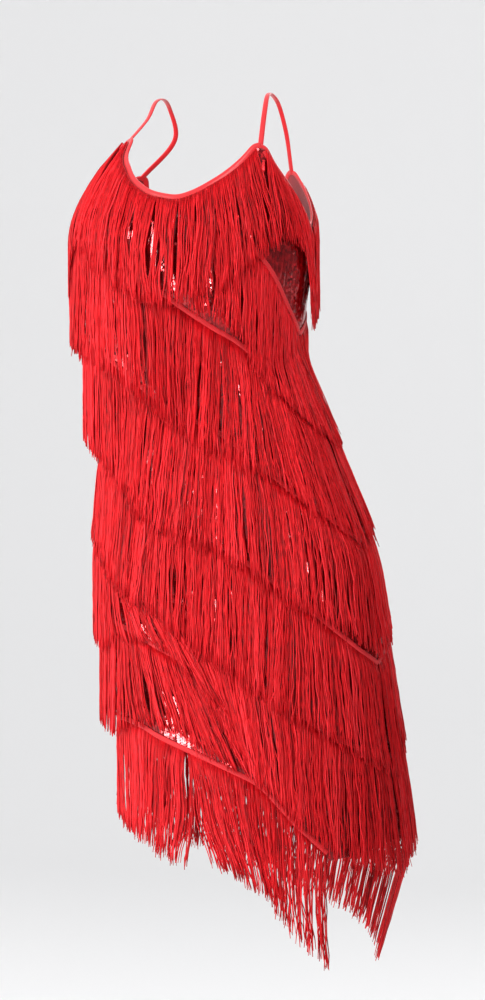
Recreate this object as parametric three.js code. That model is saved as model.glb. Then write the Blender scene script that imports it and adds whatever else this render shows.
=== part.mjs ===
// A strapped stage dress with slanted rows of fringe, in mm. +Z is up, the front faces -Y and
// the wearer's left is +X. The origin lies between the tops of the two straps, at the shoulders.
// Angles are in degrees round the dress: 0 front, 90 the wearer's left, 180 back, 270 the right.
import * as THREE from 'three';

const WALL = 1.5;           // stretch cloth
const SEAM_GAP = 0.3;       // pieces are parted by this where they are sewn
const NECK_BINDING = 6.6;   // width of the band along the neckline
const ARM_BINDING = 4.6;    // width of the band along an armhole
const BINDING_THICK = 2.6;
const STRAP_WIDTH = 6;
const STRAP_THICK = 2.2;
const TAPE_WIDTH = 6;       // header tape of a fringe band
const TAPE_GAP = 1.1;       // from the cloth to the tape's back, least where the panel's facets meet
const LOCK_THICK = 1.4;     // tape and locks
const LOCK_SHARE = 0.7;     // part of the tape's length that is taken up by locks
const LOCK_FALLS = [0.16, 0.45, 1];   // shares of its length at which a lock bends
const LOCK_RISE = 0.075;    // a lock leaves the cloth by this much for every mm below its tape
const FREE_AFTER = 16;      // a lock of the hem's bands hangs free this far below its tape
const PANEL_ROWS = 21;
const SIDE_LEFT = 86;       // side seams
const SIDE_RIGHT = 274;

const CLOTH = { color: 0xa8121f, roughness: 0.35, metalness: 0.3 };
const BAND = { color: 0xd0282f, roughness: 0.45, metalness: 0 };
const FRINGE = { color: 0xc01c28, roughness: 0.5, metalness: 0 };

// Level sections of the worn dress. x, y: centre. half: half the width. front, back: depths.
// turn: how far the section is turned about its centre.
const SECTIONS = [
  { z: 0, x: 0, y: 0, half: 70, front: 55, back: 60, turn: -5 },
  { z: -45, x: -4, y: 0, half: 98, front: 76, back: 74, turn: -5 },
  { z: -95, x: -20, y: 0, half: 120, front: 93, back: 82, turn: -5 },
  { z: -141, x: -26.5, y: 0, half: 132.5, front: 108, back: 88, turn: -5 },
  { z: -190, x: -27, y: 0, half: 131, front: 112, back: 88, turn: -4 },
  { z: -235, x: -27, y: 0, half: 126, front: 98, back: 82, turn: -2 },
  { z: -280, x: -24, y: 0, half: 120.5, front: 86, back: 80, turn: 0 },
  { z: -325, x: -11.5, y: 0, half: 123, front: 86, back: 84, turn: 3 },
  { z: -377, x: 1, y: 0, half: 131.5, front: 92, back: 94, turn: 5 },
  { z: -420, x: 7, y: 0, half: 143, front: 97, back: 104, turn: 7 },
  { z: -465, x: 14, y: 0, half: 154.5, front: 101, back: 113, turn: 9 },
  { z: -510, x: 19, y: 0, half: 164, front: 105, back: 119, turn: 10 },
  { z: -566, x: 27, y: 0, half: 164, front: 109, back: 119, turn: 10 },
  { z: -620, x: 36.5, y: 0, half: 162.5, front: 111, back: 114, turn: 10 },
  { z: -682, x: 45, y: 0, half: 160, front: 112, back: 111, turn: 10 },
  { z: -740, x: 51.5, y: 0, half: 161.5, front: 113, back: 110, turn: 10 },
  { z: -800, x: 57, y: 0, half: 163, front: 114, back: 111, turn: 10 },
  { z: -980, x: 69, y: 0, half: 169, front: 118, back: 115, turn: 10 },
];

// Soft folds of the cloth: middle, reach either way, height (a trough is below zero) and how
// many degrees the fold turns for each 100 mm up.
const FOLDS = [
  { angle: -38, z: -292, wide: 9, tall: 26, height: 2.2, slant: 30 },
  { angle: 2, z: -318, wide: 10, tall: 22, height: -2.0, slant: 34 },
  { angle: 46, z: -300, wide: 9, tall: 30, height: 2.0, slant: -18 },
  { angle: 128, z: -296, wide: 11, tall: 26, height: 2.4, slant: 22 },
  { angle: 181, z: -322, wide: 10, tall: 24, height: -2.4, slant: -12 },
  { angle: 228, z: -300, wide: 10, tall: 30, height: 2.2, slant: -26 },
  { angle: -22, z: -640, wide: 8, tall: 90, height: 2.6, slant: -6 },
  { angle: 20, z: -748, wide: 6, tall: 56, height: -3.6, slant: -8 },
  { angle: 33, z: -742, wide: 6, tall: 70, height: 2.8, slant: -7 },
  { angle: 118, z: -720, wide: 9, tall: 90, height: 3.0, slant: 4 },
  { angle: 158, z: -700, wide: 9, tall: 80, height: -3.2, slant: 3 },
  { angle: 214, z: -660, wide: 10, tall: 90, height: 3.0, slant: -4 },
];

// Cut edges of the two panels under their bindings, one row for each column of the panel.
// The level pairs are the points that carry the straps.
const TOP_FRONT = [
  { angle: -86, z: -148 }, { angle: -81.5, z: -139 }, { angle: -77, z: -123 },
  { angle: -72, z: -103 }, { angle: -67, z: -84 }, { angle: -62, z: -67 },
  { angle: -57, z: -52 }, { angle: -52, z: -52 },
  { angle: -46, z: -67 }, { angle: -40, z: -77 }, { angle: -33.5, z: -86 },
  { angle: -27, z: -97 }, { angle: -20, z: -107 }, { angle: -12, z: -116 },
  { angle: -4, z: -121 }, { angle: 4, z: -123 }, { angle: 12, z: -117.5 },
  { angle: 20, z: -107.5 }, { angle: 28, z: -95.5 }, { angle: 35, z: -82 },
  { angle: 41.5, z: -66 }, { angle: 46.5, z: -66 },
  { angle: 53, z: -82 }, { angle: 61, z: -97 }, { angle: 69, z: -113 },
  { angle: 76, z: -129 }, { angle: 81, z: -141 }, { angle: 86, z: -148 },
];
const TOP_BACK = [
  { angle: 86, z: -148 }, { angle: 92, z: -142 }, { angle: 99, z: -131 },
  { angle: 107, z: -116 }, { angle: 115, z: -101 }, { angle: 122, z: -90 },
  { angle: 127.5, z: -82 }, { angle: 132, z: -82 },
  { angle: 139, z: -103 }, { angle: 147, z: -124 }, { angle: 156, z: -142 },
  { angle: 167, z: -153 }, { angle: 180, z: -157 }, { angle: 193, z: -153 },
  { angle: 204, z: -142 }, { angle: 213, z: -124 }, { angle: 221, z: -103 },
  { angle: 228, z: -82 }, { angle: 232.5, z: -82 },
  { angle: 238, z: -90 }, { angle: 245, z: -101 }, { angle: 253, z: -116 },
  { angle: 261, z: -131 }, { angle: 268, z: -142 }, { angle: 274, z: -148 },
];
const HEM_FRONT = [
  { angle: -86, z: -690 }, { angle: -37, z: -691 }, { angle: -20, z: -704 },
  { angle: -1, z: -722 }, { angle: 12, z: -737 }, { angle: 22, z: -752 },
  { angle: 36, z: -794 }, { angle: 47, z: -821 }, { angle: 60, z: -815 },
  { angle: 86, z: -801 },
];
const HEM_BACK = [
  { angle: 86, z: -801 }, { angle: 98, z: -806 }, { angle: 130, z: -784 },
  { angle: 150, z: -765 }, { angle: 180, z: -742 }, { angle: 220, z: -714 },
  { angle: 274, z: -690 },
];
const HEM_TO_TAPE = 6;      // from the hem up to the middle of its tape

// Middle line of a strap between its two panel points, for the wearer's left.
const STRAP = [
  { x: 66, y: 42, z: -38 }, { x: 64, y: 21, z: -8 }, { x: 63, y: 0, z: 0 },
  { x: 65, y: -17, z: -4 }, { x: 68, y: -36, z: -26 },
];

// How far strands swing sideways for each mm that they fall, towards the wearer's left.
const SWING_THIGH = [
  { angle: -86, swing: 0 }, { angle: -62, swing: 0.18 }, { angle: -30, swing: 0.42 },
  { angle: 0, swing: 0.3 }, { angle: 40, swing: 0 }, { angle: 86, swing: 0 },
];
const SWING_HEM = [
  { angle: -86, swing: 0 }, { angle: -20, swing: -0.1 }, { angle: 10, swing: 0.14 },
  { angle: 60, swing: 0 },
];

// Fringe bands. path: middle of the header tape. drop: length of the strands below it. inward:
// below the hem nothing holds the strands out, and they draw in by this for each mm they fall.
const BANDS = [
  { name: 'fringe_neck_front', side: 'front', locks: 10, drop: 112,
    path: followTop(TOP_FRONT, -50.5, 40, 5) },
  { name: 'fringe_arm_front_right', side: 'front', locks: 3, drop: 104,
    path: followTop(TOP_FRONT, -73, -58, 7) },
  { name: 'fringe_arm_front_left', side: 'front', locks: 5, drop: 94,
    path: followTop(TOP_FRONT, 47.5, 79, 7) },
  { name: 'fringe_neck_back', side: 'back', locks: 10, drop: 112,
    path: followTop(TOP_BACK, 134, 226, 5) },
  { name: 'fringe_arm_back_left', side: 'back', locks: 4, drop: 106,
    path: followTop(TOP_BACK, 96, 126, 7) },
  { name: 'fringe_arm_back_right', side: 'back', locks: 4, drop: 106,
    path: followTop(TOP_BACK, 234, 264, 7) },
  { name: 'fringe_bust_front', side: 'front', locks: 9, drop: 118,
    path: [{ angle: 13, z: -150 }, { angle: 27, z: -156 }, { angle: 44, z: -178 }, { angle: 54, z: -198 },
      { angle: 69, z: -234 }, { angle: 86, z: -263 }] },
  { name: 'fringe_bust_back', side: 'back', locks: 6, drop: 118,
    path: [{ angle: 86, z: -263 }, { angle: 115, z: -232 }, { angle: 146, z: -199 }] },
  { name: 'fringe_row1_front', side: 'front', locks: 17, drop: 118,
    path: [{ angle: -86, z: -160 }, { angle: -70, z: -155 }, { angle: -53, z: -153 },
      { angle: -30, z: -170 }, { angle: -13, z: -199 }, { angle: 4, z: -230 },
      { angle: 21, z: -255 }, { angle: 43, z: -285 }, { angle: 63, z: -341 },
      { angle: 86, z: -371 }] },
  { name: 'fringe_row1_back', side: 'back', locks: 16, drop: 118,
    path: [{ angle: 86, z: -371 }, { angle: 130, z: -318 }, { angle: 180, z: -262 },
      { angle: 230, z: -205 }, { angle: 274, z: -160 }] },
  { name: 'fringe_row2_front', side: 'front', locks: 16, drop: 118,
    path: [{ angle: -86, z: -254 }, { angle: -48, z: -276 }, { angle: -27, z: -308 },
      { angle: -5, z: -345 }, { angle: 19, z: -372 }, { angle: 35, z: -403 },
      { angle: 52, z: -437 }, { angle: 86, z: -488 }] },
  { name: 'fringe_row2_back', side: 'back', locks: 17, drop: 118,
    path: [{ angle: 86, z: -488 }, { angle: 130, z: -436 }, { angle: 180, z: -374 },
      { angle: 230, z: -310 }, { angle: 274, z: -254 }] },
  { name: 'fringe_row3_front', side: 'front', locks: 18, drop: 116,
    path: [{ angle: -86, z: -361 }, { angle: -66, z: -371 }, { angle: -32, z: -415 },
      { angle: -9, z: -439 }, { angle: 3, z: -466 }, { angle: 29, z: -516 },
      { angle: 50, z: -559 }, { angle: 72, z: -600 }, { angle: 86, z: -617 }] },
  { name: 'fringe_row3_back', side: 'back', locks: 19, drop: 118,
    path: [{ angle: 86, z: -617 }, { angle: 106, z: -588 }, { angle: 150, z: -530 },
      { angle: 200, z: -464 }, { angle: 274, z: -361 }] },
  { name: 'fringe_row4_front', side: 'front', locks: 19, drop: 118, swing: SWING_THIGH,
    path: [{ angle: -86, z: -460 }, { angle: -66, z: -468 }, { angle: -34, z: -504 },
      { angle: -7, z: -546 }, { angle: 3, z: -578 }, { angle: 17, z: -617 },
      { angle: 33, z: -654 }, { angle: 58, z: -696 }, { angle: 86, z: -718 }] },
  { name: 'fringe_row4_back', side: 'back', locks: 20, drop: 112,
    path: [{ angle: 86, z: -718 }, { angle: 106, z: -696 }, { angle: 150, z: -634 },
      { angle: 200, z: -564 }, { angle: 274, z: -460 }] },
  { name: 'fringe_row5_front', side: 'front', locks: 8, drop: 120, swing: SWING_THIGH,
    path: [{ angle: -86, z: -564 }, { angle: -66, z: -568 }, { angle: -31, z: -584 },
      { angle: -12, z: -606 }, { angle: 3, z: -624 }] },
  { name: 'fringe_row5_back', side: 'back', locks: 9, drop: 120,
    path: [{ angle: 170, z: -634 }, { angle: 196, z: -614 }, { angle: 230, z: -590 },
      { angle: 274, z: -564 }] },
  { name: 'fringe_hem_front', side: 'front', locks: 15, drop: 116, swing: SWING_HEM, inward: 0.01,
    path: followHem(HEM_FRONT, -86, 46) },
  { name: 'fringe_hem_back', side: 'back', locks: 19, drop: 130, inward: 0.2,
    path: followHem(HEM_BACK, 88, 274) },
];

function followTop(rows, from, to, below) {
  return follow(rows, from, to, -below);
}

function followHem(rows, from, to) {
  return follow(rows, from, to, HEM_TO_TAPE);
}

function follow(rows, from, to, shift) {
  const inside = rows.map((row) => row.angle).filter((angle) => angle > from && angle < to);
  return [from, ...inside, to].map((angle) => ({ angle, z: along(rows, angle, 'z') + shift }));
}

// Straight interpolation in a table by angle.
function along(rows, angle, column) {
  let i = 1;
  while (i < rows.length - 1 && rows[i].angle < angle) i += 1;
  const [low, high] = [rows[i - 1], rows[i]];
  const share = THREE.MathUtils.clamp((angle - low.angle) / (high.angle - low.angle), 0, 1);
  return low[column] + (high[column] - low[column]) * share;
}

// Smooth interpolation between the level sections.
function sectionAt(z) {
  let i = 1;
  while (i < SECTIONS.length - 1 && SECTIONS[i].z > z) i += 1;
  const [a, b] = [SECTIONS[i - 1], SECTIONS[i]];
  const before = SECTIONS[Math.max(i - 2, 0)];
  const after = SECTIONS[Math.min(i + 1, SECTIONS.length - 1)];
  const span = b.z - a.z;
  const t = THREE.MathUtils.clamp((z - a.z) / span, 0, 1);
  const section = {};
  for (const column of ['x', 'y', 'half', 'front', 'back', 'turn']) {
    const slopeA = (b[column] - before[column]) / (b.z - before.z);
    const slopeB = (after[column] - a[column]) / (after.z - a.z);
    section[column] = (2 * t ** 3 - 3 * t ** 2 + 1) * a[column] + (t ** 3 - 2 * t ** 2 + t) * span * slopeA
      + (-2 * t ** 3 + 3 * t ** 2) * b[column] + (t ** 3 - t ** 2) * span * slopeB;
  }
  return section;
}

function foldHeight(angle, z) {
  let height = 0;
  for (const fold of FOLDS) {
    const middle = fold.angle + fold.slant * (z - fold.z) / 100;
    let away = (angle - middle) % 360;
    if (away > 180) away -= 360;
    if (away < -180) away += 360;
    height += fold.height * Math.exp(-((away / fold.wide) ** 2) - ((z - fold.z) / fold.tall) ** 2);
  }
  return height;
}

// A point of the cloth's outer face.
function skin(angle, z) {
  const section = sectionAt(z);
  const t = THREE.MathUtils.degToRad(angle);
  const turn = THREE.MathUtils.degToRad(section.turn);
  const lift = foldHeight(angle, z);
  const depth = (Math.cos(t) > 0 ? section.front : section.back) + lift;
  const across = (section.half + lift) * Math.sin(t);
  const ahead = -depth * Math.cos(t);
  return new THREE.Vector3(
    section.x + across * Math.cos(turn) + ahead * Math.sin(turn),
    section.y - across * Math.sin(turn) + ahead * Math.cos(turn),
    z,
  );
}

function skinNormal(angle, z) {
  const round = skin(angle + 0.5, z).sub(skin(angle - 0.5, z));
  const down = skin(angle, z - 2).sub(skin(angle, z + 2));
  return down.cross(round).normalize();
}

// Pushes a hanging point out to the given distance from the cloth, never inwards.
function pushOut(point, out) {
  const section = sectionAt(point.z);
  const turn = THREE.MathUtils.degToRad(section.turn);
  const [dx, dy] = [point.x - section.x, point.y - section.y];
  const across = dx * Math.cos(turn) - dy * Math.sin(turn);
  const ahead = dx * Math.sin(turn) + dy * Math.cos(turn);
  const depth = ahead < 0 ? section.front : section.back;
  const angle = THREE.MathUtils.radToDeg(Math.atan2(across / section.half, -ahead / depth));
  const lift = out + foldHeight(angle, point.z);
  const reach = Math.hypot(across / (section.half + lift), ahead / (depth + lift));
  if (reach < 1) {
    point.x = section.x + dx / reach;
    point.y = section.y + dy / reach;
  }
  return new THREE.Vector2(dx, dy).normalize();
}

// Closes a sheet of cells with an outer and an inner face. points[i][j]: i runs to the wearer's
// left on the front, j runs down. has(i, j) tells which cells are filled.
function sheetBody(name, look, outer, inner, has = () => true) {
  const [columns, rows] = [outer.length, outer[0].length];
  const positions = [];
  const quad = (a, b, c, d) => {
    for (const p of [a, b, c, a, c, d]) positions.push(p.x, p.y, p.z);
  };
  const filled = (i, j) => i >= 0 && j >= 0 && i < columns - 1 && j < rows - 1 && has(i, j);
  for (let i = 0; i < columns - 1; i += 1) {
    for (let j = 0; j < rows - 1; j += 1) {
      if (!filled(i, j)) continue;
      quad(outer[i][j], outer[i][j + 1], outer[i + 1][j + 1], outer[i + 1][j]);
      quad(inner[i + 1][j], inner[i + 1][j + 1], inner[i][j + 1], inner[i][j]);
      if (!filled(i, j - 1)) quad(outer[i][j], outer[i + 1][j], inner[i + 1][j], inner[i][j]);
      if (!filled(i, j + 1)) quad(outer[i + 1][j + 1], outer[i][j + 1], inner[i][j + 1], inner[i + 1][j + 1]);
      if (!filled(i - 1, j)) quad(outer[i][j + 1], outer[i][j], inner[i][j], inner[i][j + 1]);
      if (!filled(i + 1, j)) quad(outer[i + 1][j], outer[i + 1][j + 1], inner[i + 1][j + 1], inner[i + 1][j]);
    }
  }
  const geometry = new THREE.BufferGeometry();
  geometry.setAttribute('position', new THREE.Float32BufferAttribute(positions, 3));
  geometry.computeVertexNormals();
  const mesh = new THREE.Mesh(geometry, new THREE.MeshStandardMaterial(look));
  mesh.name = name;
  return mesh;
}

// Panels: columns of points from the cut edge down to the hem.
function panelColumns(top, hem) {
  const last = top.length - 1;
  return top.map(({ angle, z }, i) => {
    const inset = SEAM_GAP / 2 / 2.4;
    const at = angle + (i === 0 ? inset : 0) - (i === last ? inset : 0);
    const bottom = along(hem, angle, 'z');
    const points = [];
    const normals = [];
    for (let j = 0; j <= PANEL_ROWS; j += 1) {
      const level = z + (bottom - z) * j / PANEL_ROWS;
      points.push(skin(at, level));
      normals.push(skinNormal(at, level));
    }
    return { angle: at, points, normals };
  });
}

const PANELS = {
  front: panelColumns(TOP_FRONT, HEM_FRONT),
  back: panelColumns(TOP_BACK, HEM_BACK),
};

// A point on a panel's own faces at the given height, moved out.
function onPanel(columns, angle, z, out) {
  let i = 1;
  while (i < columns.length - 1 && columns[i].angle < angle) i += 1;
  const [left, right] = [columnPoint(columns[i - 1], z), columnPoint(columns[i], z)];
  const share = THREE.MathUtils.clamp(
    (angle - columns[i - 1].angle) / (columns[i].angle - columns[i - 1].angle), 0, 1);
  return left.lerp(right, share).addScaledVector(skinNormal(angle, z), out);
}

function columnPoint({ angle, points }, z) {
  const last = points.length - 1;
  if (z > points[0].z || z < points[last].z) return skin(angle, z);
  let j = 1;
  while (j < last && points[j].z > z) j += 1;
  const share = (z - points[j - 1].z) / (points[j].z - points[j - 1].z);
  return points[j - 1].clone().lerp(points[j], share);
}

function panelBody(name, columns) {
  const inner = columns.map(({ points, normals }) => points.map(
    (point, j) => point.clone().addScaledVector(normals[j], -WALL)));
  return sheetBody(name, CLOTH, columns.map(({ points }) => points), inner);
}

// Binding: runs along the cut edge, parted from it by the seam gap, over the columns given.
function binding(name, columns, width) {
  const edge = columns.map(({ points, normals }) => points[0].clone().addScaledVector(normals[0], -WALL / 2));
  const outer = [];
  const inner = [];
  columns.forEach(({ normals }, i) => {
    const before = edge[i].clone().sub(edge[Math.max(i - 1, 0)]).normalize();
    const after = edge[Math.min(i + 1, edge.length - 1)].clone().sub(edge[i]).normalize();
    const run = before.clone().add(after).normalize();
    const bend = Math.max(run.dot(before.lengthSq() > 0 ? before : after), 0.6);
    const normal = normals[0];
    const up = normal.clone().cross(run).normalize().divideScalar(bend);
    const low = edge[i].clone().addScaledVector(up, SEAM_GAP);
    const high = edge[i].clone().addScaledVector(up, SEAM_GAP + width);
    const half = BINDING_THICK / 2;
    outer.push([high.clone().addScaledVector(normal, half), low.clone().addScaledVector(normal, half)]);
    inner.push([high.clone().addScaledVector(normal, -half), low.clone().addScaledVector(normal, -half)]);
  });
  return sheetBody(name, BAND, outer, inner);
}

// Strap: from the back point over the shoulder to the front point, turned to lie flat on both.
function strap(name, side, backPoint, frontPoint) {
  const ends = [backPoint, frontPoint].map(([a, b]) => ({
    middle: a.points[0].clone().add(b.points[0]).multiplyScalar(0.5)
      .addScaledVector(a.normals[0], -WALL / 2)
      .add(new THREE.Vector3(0, 0, SEAM_GAP + 0.1)),
    width: b.points[0].clone().sub(a.points[0]).normalize(),
  }));
  ends[0].width.negate();
  const curve = new THREE.CatmullRomCurve3([
    ends[0].middle, ...STRAP.map(({ x, y, z }) => new THREE.Vector3(side * x, y, z)), ends[1].middle,
  ], false, 'centripetal');
  const count = 18;
  const level = new THREE.Vector3(1, 0, 0);
  const outer = [[], []];
  const inner = [[], []];
  for (let j = 0; j <= count; j += 1) {
    const t = j / count;
    const middle = curve.getPointAt(t);
    const run = curve.getTangentAt(t);
    if (j === 0) run.set(0, 0, 1);
    if (j === count) run.set(0, 0, -1);
    const end = t < 0.5 ? ends[0].width : ends[1].width;
    const width = level.clone().lerp(end, Math.abs(2 * t - 1)).normalize();
    width.addScaledVector(run, -width.dot(run)).normalize();
    const normal = run.clone().cross(width).normalize();
    for (const [i, sign] of [[0, -1], [1, 1]]) {
      const point = middle.clone().addScaledVector(width, sign * STRAP_WIDTH / 2);
      outer[i].push(point.clone().addScaledVector(normal, STRAP_THICK / 2));
      inner[i].push(point.clone().addScaledVector(normal, -STRAP_THICK / 2));
    }
  }
  return sheetBody(name, BAND, outer, inner);
}

// Strand path: falls from the tape's lower edge and swings as told. The cloth holds it off, or
// below the hem it draws in.
function hang(start, drop, swing, inward) {
  const point = start.clone();
  const path = [];
  let away = pushOut(point, 0);
  let fallen = 0;
  for (const share of LOCK_FALLS) {
    const steps = Math.ceil((share * drop - fallen) / 4);
    const step = (share * drop - fallen) / steps;
    const fall = step / Math.hypot(1, swing);
    for (let k = 0; k < steps; k += 1) {
      point.x -= away.y * swing * fall;
      point.y += away.x * swing * fall;
      point.z -= fall;
      fallen += step;
      if (inward && fallen > FREE_AFTER) {
        point.x -= away.x * inward * fall;
        point.y -= away.y * inward * fall;
      } else {
        away = pushOut(point, TAPE_GAP + LOCK_RISE * fallen);
      }
    }
    path.push({ point: point.clone(), away });
  }
  return path;
}

// A repeatable number from 0 to 1.
function chance(seed) {
  const value = Math.sin(seed * 12.9898 + 4.1) * 43758.5453;
  return value - Math.floor(value);
}

// Fringe band: a tape on the panel with locks that hang from its lower edge.
function fringe({ name, side, locks, drop, path, swing, inward }, seed) {
  const columns = PANELS[side];
  const [first, last] = [columns[0].angle + 0.3, columns[columns.length - 1].angle - 0.3];
  const [from, to] = [Math.max(path[0].angle, first), Math.min(path[path.length - 1].angle, last)];
  const pitch = (to - from) / (locks - 1 + LOCK_SHARE);
  const outer = [];
  const inner = [];
  for (let lock = 0; lock < locks; lock += 1) {
    const uneven = 0.95 + 0.08 * chance(seed * 40 + lock);
    for (const edge of [0, 1]) {
      const angle = from + pitch * (lock + edge * LOCK_SHARE);
      const z = along(path, angle, 'z');
      const column = { outer: [], inner: [] };
      for (const shift of [TAPE_WIDTH / 2, -TAPE_WIDTH / 2]) {
        column.inner.push(onPanel(columns, angle, z + shift, TAPE_GAP));
        column.outer.push(onPanel(columns, angle, z + shift, TAPE_GAP + LOCK_THICK));
      }
      const lean = swing ? along(swing, angle, 'swing') : 0;
      for (const { point, away } of hang(column.inner[1], drop * uneven, lean, inward)) {
        column.inner.push(point);
        column.outer.push(new THREE.Vector3(away.x, away.y, 0).multiplyScalar(LOCK_THICK).add(point));
      }
      outer.push(column.outer);
      inner.push(column.inner);
    }
  }
  return sheetBody(name, FRINGE, outer, inner, (i, j) => j === 0 || i % 2 === 0);
}

// Columns of a panel between two angles of its cut edge.
function between(columns, from, to) {
  return columns.filter(({ angle }) => angle > from - 0.2 && angle < to + 0.2);
}

const group = new THREE.Group();
const { front, back } = PANELS;
group.add(panelBody('front_panel', front));
group.add(panelBody('back_panel', back));
group.add(binding('neck_binding_front', between(front, -52, 41.5), NECK_BINDING));
group.add(binding('neck_binding_back', between(back, 132, 228), NECK_BINDING));
group.add(binding('armhole_binding_left',
  [...between(front, 46.5, SIDE_LEFT), ...between(back, 90, 127.5)], ARM_BINDING));
group.add(binding('armhole_binding_right',
  [...between(back, 232.5, SIDE_RIGHT), ...between(front, -83, -57)], ARM_BINDING));
group.add(strap('strap_left', 1, between(back, 127.5, 132), between(front, 41.5, 46.5)));
group.add(strap('strap_right', -1, between(back, 228, 232.5), between(front, -57, -52)));
BANDS.forEach((band, seed) => group.add(fringe(band, seed)));
export default group;
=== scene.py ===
import math
import bpy
import numpy as np
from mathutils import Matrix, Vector


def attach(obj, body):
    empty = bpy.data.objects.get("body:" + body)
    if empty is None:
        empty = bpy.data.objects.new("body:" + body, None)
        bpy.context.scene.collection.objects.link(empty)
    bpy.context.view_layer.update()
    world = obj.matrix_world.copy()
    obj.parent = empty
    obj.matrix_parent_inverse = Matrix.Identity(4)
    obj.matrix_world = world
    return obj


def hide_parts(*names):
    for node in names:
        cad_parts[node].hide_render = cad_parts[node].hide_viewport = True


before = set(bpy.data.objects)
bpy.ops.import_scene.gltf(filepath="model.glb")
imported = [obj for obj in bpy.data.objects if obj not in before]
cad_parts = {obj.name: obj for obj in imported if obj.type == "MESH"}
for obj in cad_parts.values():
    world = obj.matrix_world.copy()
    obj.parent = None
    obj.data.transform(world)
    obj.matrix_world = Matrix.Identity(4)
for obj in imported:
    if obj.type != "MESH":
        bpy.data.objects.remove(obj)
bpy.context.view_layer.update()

# --- Camera
# Level with the middle of the dress and a little round to the wearer's left. Its view is 1.1 m
# tall where the dress hangs.
CAMERA_AZIMUTH = math.radians(20)
CAMERA_DISTANCE = 3.0
CAMERA_AIM = (0.028, -0.4433)
VIEW_HEIGHT = 1.1
SENSOR_HEIGHT = 24
camera = bpy.data.objects.new("camera", bpy.data.cameras.new("camera"))
bpy.context.scene.collection.objects.link(camera)
camera.data.sensor_fit = "VERTICAL"
camera.data.sensor_height = SENSOR_HEIGHT
camera.data.lens = SENSOR_HEIGHT * CAMERA_DISTANCE / VIEW_HEIGHT
camera.location = (
    CAMERA_AIM[0] * math.cos(CAMERA_AZIMUTH) + CAMERA_DISTANCE * math.sin(CAMERA_AZIMUTH),
    CAMERA_AIM[0] * math.sin(CAMERA_AZIMUTH) - CAMERA_DISTANCE * math.cos(CAMERA_AZIMUTH),
    CAMERA_AIM[1],
)
camera.rotation_euler = (math.radians(90), 0, CAMERA_AZIMUTH)
bpy.context.scene.camera = camera

# --- Front and back panels
# Stretch cloth, deep red, cut in a front and a back and sewn up both sides. It hangs in the
# dress's worn form: level sections that lean and turn, with soft folds at the waist and hem.
# All sizes here are in millimetres, and angles run round the dress: 0 front, 90 wearer's left.
MM = 0.001
SECTIONS = np.array([
    # z, x, y, half width, front depth, back depth, turn
    (0, 0, 0, 70, 55, 60, -5),
    (-45, -4, 0, 98, 76, 74, -5),
    (-95, -20, 0, 120, 93, 82, -5),
    (-141, -26.5, 0, 132.5, 108, 88, -5),
    (-190, -27, 0, 131, 112, 88, -4),
    (-235, -27, 0, 126, 98, 82, -2),
    (-280, -24, 0, 120.5, 86, 80, 0),
    (-325, -11.5, 0, 123, 86, 84, 3),
    (-377, 1, 0, 131.5, 92, 94, 5),
    (-420, 7, 0, 143, 97, 104, 7),
    (-465, 14, 0, 154.5, 101, 113, 9),
    (-510, 19, 0, 164, 105, 119, 10),
    (-566, 27, 0, 164, 109, 119, 10),
    (-620, 36.5, 0, 162.5, 111, 114, 10),
    (-682, 45, 0, 160, 112, 111, 10),
    (-740, 51.5, 0, 161.5, 113, 110, 10),
    (-800, 57, 0, 163, 114, 111, 10),
    (-980, 69, 0, 169, 118, 115, 10),
], float)[::-1]
FOLDS = np.array([
    # angle, z, reach round, reach up, height, degrees turned for each 100 mm up
    (-38, -292, 9, 26, 2.2, 30),
    (2, -318, 10, 22, -2.0, 34),
    (46, -300, 9, 30, 2.0, -18),
    (128, -296, 11, 26, 2.4, 22),
    (181, -322, 10, 24, -2.4, -12),
    (228, -300, 10, 30, 2.2, -26),
    (-22, -640, 8, 90, 2.6, -6),
    (20, -748, 6, 56, -3.6, -8),
    (33, -742, 6, 70, 2.8, -7),
    (118, -720, 9, 90, 3.0, 4),
    (158, -700, 9, 80, -3.2, 3),
    (214, -660, 10, 90, 3.0, -4),
], float)
# Cut edges under the bindings, as angle and z. The level pairs carry the straps.
TOP_FRONT = np.array([
    (-86, -148), (-81.5, -139), (-77, -123), (-72, -103), (-67, -84), (-62, -67),
    (-57, -52), (-52, -52), (-46, -67), (-40, -77), (-33.5, -86), (-27, -97),
    (-20, -107), (-12, -116), (-4, -121), (4, -123), (12, -117.5), (20, -107.5),
    (28, -95.5), (35, -82), (41.5, -66), (46.5, -66), (53, -82), (61, -97),
    (69, -113), (76, -129), (81, -141), (86, -148),
], float)
TOP_BACK = np.array([
    (86, -148), (92, -142), (99, -131), (107, -116), (115, -101), (122, -90),
    (127.5, -82), (132, -82), (139, -103), (147, -124), (156, -142), (167, -153),
    (180, -157), (193, -153), (204, -142), (213, -124), (221, -103), (228, -82),
    (232.5, -82), (238, -90), (245, -101), (253, -116), (261, -131), (268, -142),
    (274, -148),
], float)
HEM_FRONT = np.array([
    (-86, -690), (-37, -691), (-20, -704), (-1, -722), (12, -737), (22, -752),
    (36, -794), (47, -821), (60, -815), (86, -801),
], float)
HEM_BACK = np.array([
    (86, -801), (98, -806), (130, -784), (150, -765), (180, -742), (220, -714), (274, -690),
], float)


def smooth_between(t, span, low, high, slope_low, slope_high):
    """A cubic from low to high that leaves and arrives at the slopes given."""
    return (
        (2 * t**3 - 3 * t**2 + 1) * low
        + (t**3 - 2 * t**2 + t) * span * slope_low
        + (3 * t**2 - 2 * t**3) * high
        + (t**3 - t**2) * span * slope_high
    )


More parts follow.
